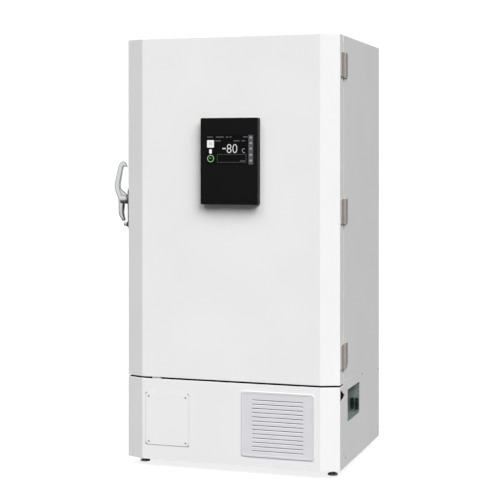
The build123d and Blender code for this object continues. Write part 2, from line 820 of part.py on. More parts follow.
# The lock's cylinder, its head and the key's slot
with BuildPart() as key_lock:
    with BuildSketch(facing_right(-half_width - seat_gap, lever_pivot_depth, lock_height)):
        Circle(lock_plug_radius)
    extrude(amount=-handle_plate - lock_boss - lock_head / 2)
    head_x = -half_width - handle_plate - lock_boss - seat_gap
    with BuildSketch(facing_right(head_x, lever_pivot_depth, lock_height)):
        Circle(lock_radius)
    extrude(amount=-lock_head, taper=4)
    with BuildSketch(facing_right(head_x - lock_head, lever_pivot_depth, lock_height)):
        Rectangle(key_slot_width, key_slot_length)
    extrude(amount=key_slot_depth, mode=Mode.SUBTRACT)
key_lock.part.label = "key_lock"
export_step(key_lock.part, "parts/key_lock.step")

# Control panel on the door
panel_middle = panel_bottom + panel_height / 2
display_x = panel_centre + display_shift
display_z = panel_bottom + panel_height - display_drop - display_height / 2

with BuildPart() as panel_housing:
    with BuildSketch(facing_front(0, panel_centre, panel_middle)):
        RectangleRounded(panel_width, panel_height, panel_round)
    extrude(amount=panel_depth - panel_face_thickness)
panel_housing.part.label = "panel_housing"
export_step(panel_housing.part, "parts/panel_housing.step")

with BuildPart() as panel_face:
    with BuildSketch(facing_front(panel_face_thickness - panel_depth, panel_centre, panel_middle)):
        RectangleRounded(panel_width, panel_height, panel_round)
    extrude(amount=panel_face_thickness)
    fillet(panel_face.faces().sort_by(Axis.Y)[0].edges(), radius=panel_edge_round)
    # Pocket for the display
    with BuildSketch(facing_front(display_thickness + display_recess - panel_depth, display_x, display_z)):
        Rectangle(display_width, display_height)
    extrude(amount=display_thickness + display_recess, mode=Mode.SUBTRACT)
    # The groove above the bottom edge
    groove_z = panel_bottom + panel_groove_lift + panel_groove_height / 2
    with BuildSketch(facing_front(panel_groove_depth - panel_depth, panel_centre, groove_z)):
        Rectangle(panel_width - 2 * panel_groove_inset, panel_groove_height)
    extrude(amount=panel_groove_depth, mode=Mode.SUBTRACT)
panel_face.part.label = "panel_face"
export_step(panel_face.part, "parts/panel_face.step")

with BuildPart() as panel_display:
    with BuildSketch(facing_front(display_thickness + display_recess - panel_depth, display_x, display_z)):
        Rectangle(display_width, display_height)
    extrude(amount=display_thickness)
panel_display.part.label = "panel_display"
export_step(panel_display.part, "parts/panel_display.step")

# Base
grille_x, grille_z = half_width - grille_inset - grille_width / 2, grille_bottom + grille_height / 2
plate_x, plate_z = plate_inset + plate_width / 2 - half_width, plate_bottom + plate_height / 2
notch = (
    (corner_depth + notch_start_gap, cover_top - notch_bottom_drop),
    (cover_depth + notch_reach, cover_top - notch_tip_drop),
    (corner_depth + notch_start_gap, cover_top - notch_top_drop),
)

with BuildPart() as base_front_cover:
    with BuildSketch(level(floor_gap)):
        with BuildLine():
            Polyline(*front_outline(cover_depth), close=True)
        make_face()
    extrude(amount=cover_top - floor_gap)
    open_faces = [base_front_cover.faces().sort_by(Axis.Y)[-1], base_front_cover.faces().sort_by(Axis.Z)[0]]
    offset(amount=-skin, openings=open_faces)
    with BuildSketch(facing_front(skin)):
        with Locations((grille_x, grille_z)):
            Rectangle(grille_width - 2 * cover_hole_margin, grille_height - 2 * cover_hole_margin)
        with Locations((plate_x, plate_z)):
            Rectangle(plate_width - 4 * cover_hole_margin, plate_height - 4 * cover_hole_margin)
    extrude(amount=skin, mode=Mode.SUBTRACT)
    with BuildSketch(facing_right(inside)):
        with BuildLine():
            Polyline(*notch, close=True)
        make_face()
    extrude(amount=skin, mode=Mode.SUBTRACT)
base_front_cover.part.label = "base_front_cover"
export_step(base_front_cover.part, "parts/base_front_cover.step")

with BuildPart() as base_side_left:
    with BuildSketch(facing_right(-half_width)):
        rectangle_between(cover_depth, body_depth, floor_gap, case_bottom)
    extrude(amount=skin)
base_side_left.part.label = "base_side_left"
export_step(base_side_left.part, "parts/base_side_left.step")

recess_front = cover_depth + recess_setback
recess_back = recess_front + recess_length
recess_top = recess_bottom + recess_height

with BuildPart() as base_side_right:
    with BuildSketch(facing_right(inside)):
        rectangle_between(cover_depth, body_depth, floor_gap, case_bottom)
        rectangle_between(recess_front, recess_back, recess_bottom, recess_top, mode=Mode.SUBTRACT)
        with BuildLine():
            Polyline(*notch, close=True)
        make_face(mode=Mode.SUBTRACT)
    extrude(amount=skin)
base_side_right.part.label = "base_side_right"
export_step(base_side_right.part, "parts/base_side_right.step")

foot_x, foot_depth = half_width - foot_inset, cover_depth + foot_setback
caster_x, caster_rear_depth = half_width - caster_inset, body_depth - caster_rear_inset

with BuildPart() as base_frame:
    back = body_depth - skin
    with BuildSketch(level(pan_height)):
        rectangle_between(-inside, inside, frame_setback, back)
    extrude(amount=pan_sheet)
    with BuildSketch(level(skirt_bottom)):
        rectangle_between(-inside, inside, frame_setback, back)
        rectangle_between(
            -inside + pan_sheet, inside - pan_sheet, frame_setback + pan_sheet, back - pan_sheet, mode=Mode.SUBTRACT
        )
    extrude(amount=pan_height - skirt_bottom)
    with BuildSketch(level(pan_height + pan_sheet)):
        for x in (-inside, inside - post_size):
            for y in (cover_depth, back - post_size):
                rectangle_between(x, x + post_size, y, y + post_size)
    extrude(amount=case_bottom - pan_height - pan_sheet)
    with BuildSketch(level(case_bottom - post_size)):
        for y in (cover_depth + post_size / 2, back - post_size):
            rectangle_between(-inside, inside, y, y + post_size / 2)
    extrude(amount=post_size)
    with BuildSketch(level(skirt_bottom)):
        with Locations((-foot_x, foot_depth), (foot_x, foot_depth)):
            Circle(foot_tube_radius)
    extrude(amount=pan_height - skirt_bottom)
    with BuildSketch(level(skirt_bottom)):
        with Locations((-foot_x, foot_depth), (foot_x, foot_depth)):
            Circle(foot_stem_radius + running_clearance)
    extrude(amount=pan_height - skirt_bottom, mode=Mode.SUBTRACT)
    for y, seat in ((caster_front_depth, caster_seat + caster_lift), (caster_rear_depth, caster_seat)):
        with BuildSketch(level(seat)):
            with Locations((-caster_x, y), (caster_x, y)):
                Circle(caster_boss_radius)
        extrude(amount=pan_height - seat)
        with BuildSketch(level(seat)):
            with Locations((-caster_x, y), (caster_x, y)):
                Circle(caster_stem_radius + running_clearance)
        extrude(amount=pan_height - seat, mode=Mode.SUBTRACT)
base_frame.part.label = "base_frame"
export_step(base_frame.part, "parts/base_frame.step")

with BuildPart() as access_plate:
    with BuildSketch(facing_front(0, plate_x, plate_z)):
        RectangleRounded(plate_width, plate_height, plate_round)
    extrude(amount=plate_thickness)
    fillet(access_plate.faces().sort_by(Axis.Y)[0].edges(), radius=plate_thickness / 3)
access_plate.part.label = "access_plate"
export_step(access_plate.part, "parts/access_plate.step")

with BuildPart() as cover_screws:
    with BuildSketch(facing_front(-plate_thickness, plate_x, plate_z)):
        with GridLocations(plate_width - 2 * plate_screw_inset, plate_height - 2 * plate_screw_inset, 2, 2):
            Circle(screw_radius)
    extrude(amount=screw_head, taper=screw_taper)
    side_screws = [(cover_depth + inset, height) for inset, height in front_side_screws]
    side_screws += [(body_depth - inset, height) for inset, height in rear_side_screws]
    side_screws += [((cover_depth + body_depth) / 2, case_bottom - top_side_screw_drop)]
    with BuildSketch(facing_right(half_width)):
        with Locations(side_screws):
            Circle(screw_radius)
    extrude(amount=screw_head, taper=screw_taper)
cover_screws.part.label = "cover_screws"
export_step(cover_screws.part, "parts/cover_screws.step")

with BuildPart() as door_rest:
    with BuildSketch(level(cover_top)):
        rectangle_between(
            rest_inset - half_width, rest_inset + rest_width - half_width, rest_front, rest_front + rest_depth
        )
        fillet(vertices(), radius=rest_round)
    extrude(amount=door_gap - seat_gap)
door_rest.part.label = "door_rest"
export_step(door_rest.part, "parts/door_rest.step")

# Intake grille, with slanted slots, and the filter clipped in its back
tray_inset = cover_hole_margin + grille_clearance
tray_width, tray_height = grille_width - 2 * tray_inset, grille_height - 2 * tray_inset

with BuildPart() as intake_grille:
    with BuildSketch(facing_front(0, grille_x, grille_z)):
        RectangleRounded(grille_width, grille_height, grille_round)
    extrude(amount=grille_flange)
    fillet(intake_grille.faces().sort_by(Axis.Y)[0].edges(), radius=grille_flange / 2)
    with BuildSketch(facing_front(grille_field_recess - grille_flange, grille_x, grille_z)):
        RectangleRounded(
            grille_width - 2 * grille_field_inset,
            grille_height - 2 * grille_field_inset,
            grille_round - grille_field_inset / 2,
        )
    extrude(amount=grille_field_recess, mode=Mode.SUBTRACT)
    with BuildSketch(facing_front(grille_tray_depth, grille_x, grille_z)):
        Rectangle(tray_width, tray_height)
        Rectangle(tray_width - 2 * grille_wall, tray_height - 2 * grille_wall, mode=Mode.SUBTRACT)
    extrude(amount=grille_tray_depth)
    with BuildSketch(facing_front(grille_thickness - grille_flange, grille_x, grille_z)):
        Rectangle(tray_width, tray_height)
    extrude(amount=grille_thickness - grille_field_recess)
    with BuildSketch(facing_right(grille_x - slot_length / 2, 0, grille_z - slot_field_shift)):
        front, back = -grille_flange - 1, grille_thickness - grille_flange + 1
        with GridLocations(0, slot_pitch, 1, slot_count):
            Polygon(
                (front, -slot_height / 2 - slot_slant / 2),
                (back, -slot_height / 2 + slot_slant / 2),
                (back, slot_height / 2 + slot_slant / 2),
                (front, slot_height / 2 - slot_slant / 2),
                align=None,
            )
    extrude(amount=slot_length, mode=Mode.SUBTRACT)
intake_grille.part.label = "intake_grille"
export_step(intake_grille.part, "parts/intake_grille.step")

with BuildPart() as air_filter:
    with BuildSketch(facing_front(grille_tray_depth, grille_x, grille_z)):
        Rectangle(tray_width - 2 * (grille_wall + seat_gap), tray_height - 2 * (grille_wall + seat_gap))
    extrude(amount=grille_tray_depth - grille_thickness + grille_flange)
air_filter.part.label = "air_filter"
export_step(air_filter.part, "parts/air_filter.step")

# Service recess in the right side, with two toggle switches on its rear wall
with BuildPart() as service_recess:
    with BuildSketch(facing_right(inside - recess_reach)):
        rectangle_between(
            recess_front - recess_sheet,
            recess_back + recess_sheet,
            recess_bottom - recess_sheet,
            recess_top + recess_sheet,
        )
    extrude(amount=recess_reach)
    with BuildSketch(facing_right(inside - recess_sheet)):
        rectangle_between(
            recess_front - recess_flange,
            recess_back + recess_flange,
            recess_bottom - recess_flange,
            recess_top + recess_flange,
        )
    extrude(amount=recess_sheet)
    with BuildSketch(facing_right(inside - recess_reach + recess_sheet)):
        rectangle_between(recess_front, recess_back, recess_bottom, recess_top)
    extrude(amount=recess_reach, mode=Mode.SUBTRACT)
service_recess.part.label = "service_recess"
export_step(service_recess.part, "parts/service_recess.step")

switch_places = [half_width - inset for inset in switch_insets]
switch_height = recess_bottom + switch_lift
toggle_axis = recess_back - switch_body_depth + toggle_radius + toggle_blade / 2
with BuildPart() as switch_bodies:
    with BuildSketch(facing_front(recess_back)):
        for x in switch_places:
            with Locations((x, switch_height)):
                Rectangle(switch_body_width, switch_body_height)
    extrude(amount=switch_body_depth)
    for x in switch_places:
        with BuildSketch(facing_right(x - toggle_length / 2 - toggle_clearance, toggle_axis, switch_height)):
            Circle(toggle_radius + toggle_clearance)
            rectangle_between(-switch_body_depth, 0, -toggle_radius, toggle_radius)
        extrude(amount=toggle_length + 2 * toggle_clearance, mode=Mode.SUBTRACT)
switch_bodies.part.label = "switch_bodies"
export_step(switch_bodies.part, "parts/switch_bodies.step")

for x, name in zip(switch_places, ("power_switch", "battery_switch")):
    with BuildPart() as toggle:
        with BuildSketch(facing_right(x - toggle_length / 2, toggle_axis, switch_height)):
            Circle(toggle_radius)
        extrude(amount=toggle_length)
        tip = Plane(
            origin=(centre_x + x - toggle_length / 2, front_y + toggle_axis, switch_height),
            x_dir=(0, -cos(radians(toggle_lean)), sin(radians(toggle_lean))),
            z_dir=(-1, 0, 0),
        )
        with BuildSketch(tip):
            rectangle_between(0, toggle_reach, -toggle_blade / 2, toggle_blade / 2)
            fillet(vertices().group_by(Axis.Y)[0], radius=toggle_blade / 3)
        extrude(amount=-toggle_length)
    toggle.part.label = name
    export_step(toggle.part, f"parts/{name}.step")

# Machine compartment
deck = pan_height + pan_sheet
with BuildPart() as condenser:
    with BuildSketch(level(deck)):
        with Locations((grille_x, condenser_front + condenser_depth / 2)):
            Rectangle(condenser_width, condenser_depth)
        with Locations((grille_x, condenser_front + fin_slit_depth / 2)):
            with GridLocations(condenser_width / fin_count, 0, fin_count - 1, 1):
                Rectangle(fin_slit, fin_slit_depth, mode=Mode.SUBTRACT)
    extrude(amount=condenser_height)
condenser.part.label = "condenser"
export_step(condenser.part, "parts/condenser.step")

fan_height = deck + condenser_height / 2
fan_front = condenser_front + condenser_depth + shroud_depth
motor_front = fan_front + fan_hub_depth + motor_gap
motor_back = motor_front + motor_length

with BuildPart() as fan_shroud:
    with BuildSketch(facing_front(fan_front, grille_x, fan_height)):
        Rectangle(condenser_width, condenser_height)
        Circle(fan_radius + fan_tip_gap, mode=Mode.SUBTRACT)
    extrude(amount=shroud_depth)
    with BuildSketch(facing_front(motor_back, grille_x, fan_height)):
        Circle(motor_radius)
    extrude(amount=motor_length)
    with BuildSketch(facing_front(motor_back, grille_x, fan_height)):
        Rectangle(2 * (fan_radius + fan_tip_gap + strut_width), strut_width)
    extrude(amount=strut_width)
    with BuildSketch(facing_front(motor_back, grille_x, fan_height)):
        for side in (-1, 1):
            with Locations((side * (fan_radius + fan_tip_gap + strut_width / 2), 0)):
                Rectangle(strut_width, strut_width)
    extrude(amount=motor_back - fan_front)
    with BuildSketch(facing_front(motor_front, grille_x, fan_height)):
        Circle(fan_shaft_radius)
    extrude(amount=motor_front - fan_front + shroud_depth / 2)
fan_shroud.part.label = "fan_shroud"
export_step(fan_shroud.part, "parts/fan_shroud.step")

with BuildPart() as fan_rotor:
    with BuildSketch(facing_front(fan_front + fan_hub_depth / 2, grille_x, fan_height)):
        Circle(fan_hub_radius)
        Circle(fan_shaft_radius + running_clearance, mode=Mode.SUBTRACT)
    extrude(amount=fan_hub_depth)
    for n in range(fan_blades):
        turn, pitch = radians(360 / fan_blades * n), radians(fan_pitch)
        root = Plane(
            origin=(
                centre_x + grille_x + (fan_hub_radius - fan_blade_root) * cos(turn),
                front_y + fan_front,
                fan_height + (fan_hub_radius - fan_blade_root) * sin(turn),
            ),
            x_dir=(sin(pitch) * sin(turn), -cos(pitch), -sin(pitch) * cos(turn)),
            z_dir=(cos(turn), 0, sin(turn)),
        )
        with BuildSketch(root):
            Rectangle(fan_blade_sheet, fan_blade_chord)
        extrude(amount=fan_radius - fan_hub_radius)
fan_rotor.part.label = "fan_rotor"
export_step(fan_rotor.part, "parts/fan_rotor.step")

compressor_places = (
    (first_compressor[0] - half_width, body_depth - first_compressor[1]),
    (half_width - second_compressor[0], body_depth - second_compressor[1]),
)
with BuildPart() as compressors:
    for x, y in compressor_places:
        with BuildSketch(level(deck, x, y)):
            RectangleRounded(*compressor_base, compressor_base_round)
        extrude(amount=pan_sheet)
        with BuildSketch(level(deck + pan_sheet, x, y)):
            Circle(compressor_neck)
        extrude(amount=compressor_lift)
        with BuildSketch(level(deck + compressor_lift, x, y)):
            Circle(compressor_radius)
        extrude(amount=compressor_height)
        dome = compressors.edges().filter_by(GeomType.CIRCLE).group_by(Axis.Z)[-1]
        fillet(dome, radius=compressor_dome)
compressors.part.label = "compressors"
export_step(compressors.part, "parts/compressors.step")

inlet_x = half_width - inlet_inset
louvre_length = (cabinet_width - 2 * louvre_margin + louvre_column_gap) / louvre_columns - louvre_column_gap

with BuildPart() as base_rear_panel:
    with BuildSketch(facing_front(body_depth)):
        rectangle_between(-inside, inside, floor_gap, case_bottom)
        with Locations((0, (pan_height + case_bottom) / 2 - louvre_drop)):
            with GridLocations(louvre_length + louvre_column_gap, louvre_pitch, louvre_columns, louvre_rows):
                SlotOverall(louvre_length, louvre_height, mode=Mode.SUBTRACT)
        with Locations((inlet_x, inlet_height)):
            Rectangle(inlet_width, inlet_tall, mode=Mode.SUBTRACT)
    extrude(amount=skin)
base_rear_panel.part.label = "base_rear_panel"
export_step(base_rear_panel.part, "parts/base_rear_panel.step")

with BuildPart() as power_inlet:
    with BuildSketch(facing_front(body_depth + inlet_flange, inlet_x, inlet_height)):
        flange_size = inlet_width + inlet_flange_margin[0], inlet_tall + inlet_flange_margin[1]
        RectangleRounded(*flange_size, inlet_flange)
    extrude(amount=inlet_flange)
    with BuildSketch(facing_front(body_depth, inlet_x, inlet_height)):
        Rectangle(inlet_width - 2 * seat_gap, inlet_tall - 2 * seat_gap)
    extrude(amount=inlet_depth)
    with BuildSketch(facing_front(body_depth + inlet_flange, inlet_x, inlet_height)):
        Rectangle(inlet_width - 2 * inlet_wall[0], inlet_tall - 2 * inlet_wall[1])
    extrude(amount=inlet_depth - inlet_wall[1], mode=Mode.SUBTRACT)
    with BuildSketch(facing_front(body_depth, inlet_x, inlet_height)):
        with GridLocations(inlet_pin_pitch, 0, 3, 1):
            Rectangle(*inlet_pin)
    extrude(amount=inlet_depth)
power_inlet.part.label = "power_inlet"
export_step(power_inlet.part, "parts/power_inlet.step")

# Feet and casters
for side, name in ((-1, "foot_left"), (1, "foot_right")):
    with BuildPart() as foot:
        with BuildSketch(level(0, side * foot_x, foot_depth)):
            Circle(foot_disc_radius)
        extrude(amount=foot_disc)
        fillet(foot.faces().sort_by(Axis.Z)[-1].edges(), radius=foot_disc / 2)
        with BuildSketch(level(foot_disc, side * foot_x, foot_depth)):
            Circle(foot_stem_radius)
        extrude(amount=pan_height - foot_disc - seat_gap)
        with BuildSketch(level(foot_disc, side * foot_x, foot_depth)):
            RegularPolygon(foot_nut_radius, 6)
        extrude(amount=foot_nut)
    foot.part.label = name
    export_step(foot.part, f"parts/{name}.step")

caster_places = {
    "front_left": (-caster_x, caster_front_depth, caster_lift),
    "front_right": (caster_x, caster_front_depth, caster_lift),
    "rear_left": (-caster_x, caster_rear_depth, 0.0),
    "rear_right": (caster_x, caster_rear_depth, 0.0),
}
for name, (x, y, lift) in caster_places.items():
    plate_top = caster_seat + lift - seat_gap
    axle_height = wheel_radius + lift
    cheek = wheel_width / 2 + wheel_side_gap
    with BuildPart() as fork:
        with BuildSketch(level(plate_top, x, y)):
            Circle(caster_boss_radius)
        extrude(amount=-caster_plate)
        with BuildSketch(level(plate_top - caster_plate, x, y)):
            Circle(caster_stem_radius)
        extrude(amount=caster_plate + pan_height - plate_top - seat_gap)
        with BuildSketch(facing_right(x - cheek - caster_cheek, y), facing_right(x + cheek, y)):
            with BuildLine():
                Polyline(
                    (-caster_cheek_half, plate_top - 1),
                    (caster_cheek_half, plate_top - 1),
                    (caster_trail + caster_cheek_end, axle_height),
                    (caster_trail, axle_height - caster_cheek_end),
                    (caster_trail - caster_cheek_end, axle_height),
                    close=True,
                )
            make_face()
        extrude(amount=caster_cheek)
        with BuildSketch(facing_right(x - cheek - caster_cheek, y + caster_trail, axle_height)):
            Circle(axle_radius)
        extrude(amount=2 * (cheek + caster_cheek))
    fork.part.label = f"caster_fork_{name}"
    export_step(fork.part, f"parts/caster_fork_{name}.step")

    with BuildPart() as wheel:
        with BuildSketch(facing_right(x - wheel_width / 2, y + caster_trail, axle_height)):
            Circle(wheel_radius)
        extrude(amount=wheel_width)
        fillet(wheel.edges(), radius=tyre_round)
        with BuildSketch(facing_right(x - wheel_width / 2, y + caster_trail, axle_height)):
            Circle(axle_radius + running_clearance)
        extrude(amount=wheel_width, mode=Mode.SUBTRACT)
    wheel.part.label = f"caster_wheel_{name}"
    export_step(wheel.part, f"parts/caster_wheel_{name}.step")
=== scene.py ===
from contextlib import contextmanager
from math import pi, radians

import bmesh
import bpy
from mathutils import Matrix, Vector


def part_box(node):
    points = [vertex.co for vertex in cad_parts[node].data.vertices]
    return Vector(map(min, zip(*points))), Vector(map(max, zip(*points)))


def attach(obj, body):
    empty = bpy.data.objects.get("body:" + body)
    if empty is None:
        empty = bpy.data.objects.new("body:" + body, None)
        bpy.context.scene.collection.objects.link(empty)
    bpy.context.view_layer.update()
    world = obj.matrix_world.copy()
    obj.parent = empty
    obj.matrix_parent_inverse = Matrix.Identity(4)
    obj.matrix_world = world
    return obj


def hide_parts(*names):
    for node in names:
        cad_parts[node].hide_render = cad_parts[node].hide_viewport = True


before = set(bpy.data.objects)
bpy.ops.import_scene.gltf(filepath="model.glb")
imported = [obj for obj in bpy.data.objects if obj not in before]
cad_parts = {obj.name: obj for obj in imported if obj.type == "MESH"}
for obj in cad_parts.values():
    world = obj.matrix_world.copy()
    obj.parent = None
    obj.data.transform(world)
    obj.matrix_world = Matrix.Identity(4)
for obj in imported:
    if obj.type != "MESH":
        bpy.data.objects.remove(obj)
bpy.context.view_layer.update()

# Upright ultra low temperature freezer. Blender's metres, but sizes and places below are given
# in millimetres of the cabinet: x from its centreline, y behind the door's front face and z
# above the floor, which place() turns into the frame's own coordinates.
MM = 0.001
side_left, side_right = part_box("base_side_left"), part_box("base_side_right")
door_low, door_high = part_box("door_skin")
centre_x = (side_left[0].x + side_right[1].x) / 2
front_y = door_low.y


def place(x, y, z):
    """A point of the cabinet in the frame's metres."""
    return Vector((centre_x + x * MM, front_y + y * MM, z * MM))


def corner(node, end):
    """A CAD node's lowest (0) or highest (1) corner, in the cabinet's millimetres."""
    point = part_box(node)[end]
    return Vector(((point.x - centre_x) / MM, (point.y - front_y) / MM, point.z / MM))


# Tools for modelling

def deselect():
    bpy.ops.object.select_all(action="DESELECT")


def activate(piece):
    """Makes a piece the only selected and active object."""
    deselect()
    piece.select_set(True)
    bpy.context.view_layer.objects.active = piece


def settle(piece, name):
    """Names a new piece and puts its place, turn and size into its mesh."""
    activate(piece)
    piece.name = piece.data.name = name
    bpy.ops.object.transform_apply(location=True, rotation=True, scale=True)
    return piece


@contextmanager
def editing(piece, faces=None, edges=None):
    """Edit mode, with the faces or the edges selected that the test picks."""
    activate(piece)
    bpy.ops.object.mode_set(mode="EDIT")
    bpy.ops.mesh.select_mode(type="FACE" if faces else "EDGE")
    bpy.ops.mesh.select_all(action="SELECT" if not (faces or edges) else "DESELECT")
    shape = bmesh.from_edit_mesh(piece.data)
    for item in shape.faces if faces else shape.edges if edges else ():
        item.select_set((faces or edges)(item))
    shape.select_flush_mode()
    bmesh.update_edit_mesh(piece.data)
    yield
    bpy.ops.object.mode_set(mode="OBJECT")


def facing(direction, limit=0.9):
    """Test that picks the faces whose normal points along a direction."""
    axis = Vector(direction)
    return lambda face: face.normal.dot(axis) > limit


def block(name, low, high):
    """A box between two corners given in the cabinet's millimetres."""
    deselect()
    near, far = place(*low), place(*high)
    bpy.ops.mesh.primitive_cube_add(size=1, location=(near + far) / 2, scale=far - near)
    return settle(bpy.context.active_object, name)


TURNS = {"X": (0, pi / 2, 0), "Y": (pi / 2, 0, 0), "Z": (0, 0, 0)}


def rod(name, middle, radius, length, axis, sides=32):
    """A cylinder along X, Y or Z, its middle in the cabinet's millimetres."""
    deselect()
    bpy.ops.mesh.primitive_cylinder_add(
        vertices=sides, radius=radius * MM, depth=length * MM, location=place(*middle), rotation=TURNS[axis]
    )
    return settle(bpy.context.active_object, name)


def round_edges(piece, width, segments=2, edges=None):
    """Rounds the edges that the test picks, or every sharp one, and keeps the flats flat."""
    with editing(piece, edges=edges or (lambda edge: edge.calc_face_angle(0) > radians(25))):
        bpy.ops.mesh.bevel(offset=width * MM, offset_type="OFFSET", segments=segments, clamp_overlap=True)
    smooth(piece)
    apply(piece, "WEIGHTED_NORMAL", keep_sharp=True)


def smooth(piece, angle=35):
    activate(piece)
    bpy.ops.object.shade_smooth_by_angle(angle=radians(angle))


def apply(piece, kind, **settings):
    """Adds a modifier with its settings and applies it."""
    activate(piece)
    modifier = piece.modifiers.new(kind.title(), kind)
    for setting, value in settings.items():
        setattr(modifier, setting, value)
    bpy.ops.object.modifier_apply(modifier=modifier.name)


def cut(piece, cutter):
    """Takes one piece's shape out of another, and deletes the cutter."""
    apply(piece, "BOOLEAN", operation="DIFFERENCE", solver="EXACT", object=cutter)
    bpy.data.objects.remove(cutter)


def join(name, pieces):
    """Joins pieces into one mesh."""
    activate(pieces[0])
    for piece in pieces:
        piece.select_set(True)
    bpy.ops.object.join()
    return settle(bpy.context.active_object, name)


def from_node(node, name):
    """A merged copy of a CAD node's mesh, with its flat faces whole again."""
    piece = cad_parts[node].copy()
    piece.data = piece.data.copy()
    bpy.context.scene.collection.objects.link(piece)
    piece.parent = None
    piece.hide_viewport = piece.hide_render = False
    piece.hide_set(False)
    for key in [key for key in piece.keys() if key.startswith("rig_")]:
        del piece[key]
    piece.name = piece.data.name = name
    piece.data.materials.clear()
    activate(piece)
    bpy.ops.mesh.customdata_custom_splitnormals_clear()
    with editing(piece):
        bpy.ops.mesh.remove_doubles(threshold=0.00001)
        bpy.ops.mesh.dissolve_limited(angle_limit=radians(0.5))
    return piece


def ready(piece, body, material, instead_of=()):
    """Gives a finished piece its material and body, and hides the CAD nodes it stands for."""
    piece.data.materials.clear()
    piece.data.materials.append(material)
    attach(piece, body)
    if instead_of:
        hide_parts(*instead_of)
    return piece


# Tools for materials

def colour(code):
    """An sRGB hex colour as linear red, green, blue and alpha."""
    parts = [int(code[i:i + 2], 16) / 255 for i in (1, 3, 5)]
    return (*[p / 12.92 if p <= 0.04045 else ((p + 0.055) / 1.055) ** 2.4 for p in parts], 1.0)


def add(tree, kind, sockets=None, **settings):
    """Adds a node with its settings, and with values or links for its sockets."""
    node = tree.nodes.new(kind)
    for setting, value in settings.items():
        setattr(node, setting, value)
    for socket, value in (sockets or {}).items():
        if isinstance(value, bpy.types.NodeSocket):
            tree.links.new(value, node.inputs[socket])
        else:
            node.inputs[socket].default_value = value
    return node


def new_material(name):
    """An empty material and its node tree."""
    material = bpy.data.materials.new(name)
    material.use_nodes = True
    material.node_tree.nodes.clear()
    return material, material.node_tree


def surface(tree, **sockets):
    """A Principled surface, given to the material's output; underscores stand for spaces."""
    shader = add(tree, "ShaderNodeBsdfPrincipled", {k.replace("_", " "): v for k, v in sockets.items()})
    add(tree, "ShaderNodeOutputMaterial", {"Surface": shader.outputs[0]})
    return shader


def grain(tree, size, detail=3.0, stretch=(1, 1, 1)):
    """Noise over the piece's own coordinates; size is its cell in millimetres."""
    where = add(tree, "ShaderNodeTexCoord").outputs["Object"]
    spread = add(tree, "ShaderNodeMapping", {"Vector": where, "Scale": [s / (size * MM) for s in stretch]})
    noise = add(tree, "ShaderNodeTexNoise", {"Vector": spread.outputs[0], "Scale": 1.0, "Detail": detail})
    return noise.outputs["Fac"]


def between(tree, factor, low, high, start=0.3, end=0.7):
    """Two colours, or two numbers, mixed by a factor."""
    if isinstance(low, str):
        ramp = add(tree, "ShaderNodeValToRGB", {"Fac": factor})
        ramp.color_ramp.elements[0].position, ramp.color_ramp.elements[1].position = start, end
        ramp.color_ramp.elements[0].color, ramp.color_ramp.elements[1].color = colour(low), colour(high)
        return ramp.outputs[0]
    sockets = {"Value": factor, "From Min": start, "From Max": end, "To Min": low, "To Max": high}
    return add(tree, "ShaderNodeMapRange", sockets).outputs[0]


def relief(tree, height, depth, strength=1.0):
    """A bump from a height; depth is its full height in millimetres."""
    return add(tree, "ShaderNodeBump", {"Height": height, "Distance": depth * MM, "Strength": strength}).outputs[0]


# Finishes

def baked_white_enamel():
    """Powder-coated sheet steel: even white, a soft gloss and a fine orange peel."""
    material, tree = new_material("baked_white_enamel")
    peel = grain(tree, 2.2, detail=2.0)
    drift = grain(tree, 320.0, detail=1.0)
    surface(
        tree,
        Base_Color=between(tree, drift, "#EEEEEE", "#F1F1F1"),
        Roughness=between(tree, peel, 0.34, 0.42),
        IOR=1.5,
        Specular_IOR_Level=0.3,
        Normal=relief(tree, peel, 0.012),
    )
    return material


def moulded_white_abs():
    """Injection-moulded ABS: a faintly cool white with a fine matt texture."""
    material, tree = new_material("moulded_white_abs")
    texture = grain(tree, 0.9, detail=2.0)
    surface(
        tree,
        Base_Color=between(tree, grain(tree, 90.0), "#DBDADF", "#DFDEE3"),
        Roughness=between(tree, texture, 0.42, 0.52),
        IOR=1.53,
        Normal=relief(tree, texture, 0.02),
    )
    return material


def rigid_foam():
    """Polyurethane foam between the walls: cream yellow, with fine cells."""
    material, tree = new_material("rigid_polyurethane_foam")
    cells = grain(tree, 1.5, detail=4.0)
    surface(
        tree,
        Base_Color=between(tree, cells, "#D9CB9C", "#E9DFB8"),
        Roughness=0.9,
        Normal=relief(tree, cells, 0.4),
    )
    return material


def brushed_stainless(name="brushed_stainless_steel", stretch=(1, 60, 60), tone=("#A9AAA9", "#BDBEBD")):
    """Stainless sheet brushed along its length: fine lines that stretch the highlights."""
    material, tree = new_material(name)
    lines = grain(tree, 40.0, detail=6.0, stretch=stretch)
    surface(
        tree,
        Base_Color=between(tree, lines, *tone),
        Metallic=1.0,
        Roughness=between(tree, lines, 0.26, 0.42),
        Normal=relief(tree, lines, 0.006),
    )
    return material


def extruded_gasket():
    """Grey thermoplastic rubber of the door seals: matt and slightly dusty."""
    material, tree = new_material("extruded_grey_gasket")
    bloom = grain(tree, 30.0, detail=4.0)
    surface(
        tree,
        Base_Color=between(tree, bloom, "#8F908F", "#A2A3A1"),
        Roughness=between(tree, bloom, 0.6, 0.75),
        IOR=1.5,
        Sheen_Weight=0.2,
    )
    return material


def tumbled_zinc(name="tumbled_zinc_casting", tone=("#B3B0AA", "#C4C1BB")):
    """Die-cast zinc of the hinges, tumbled and lacquered: warm grey with a soft shine."""
    material, tree = new_material(name)
    skin = grain(tree, 3.0, detail=4.0)
    surface(
        tree,
        Base_Color=between(tree, skin, *tone),
        Metallic=0.35,
        Roughness=between(tree, skin, 0.38, 0.5),
        Normal=relief(tree, skin, 0.03),
    )
    return material


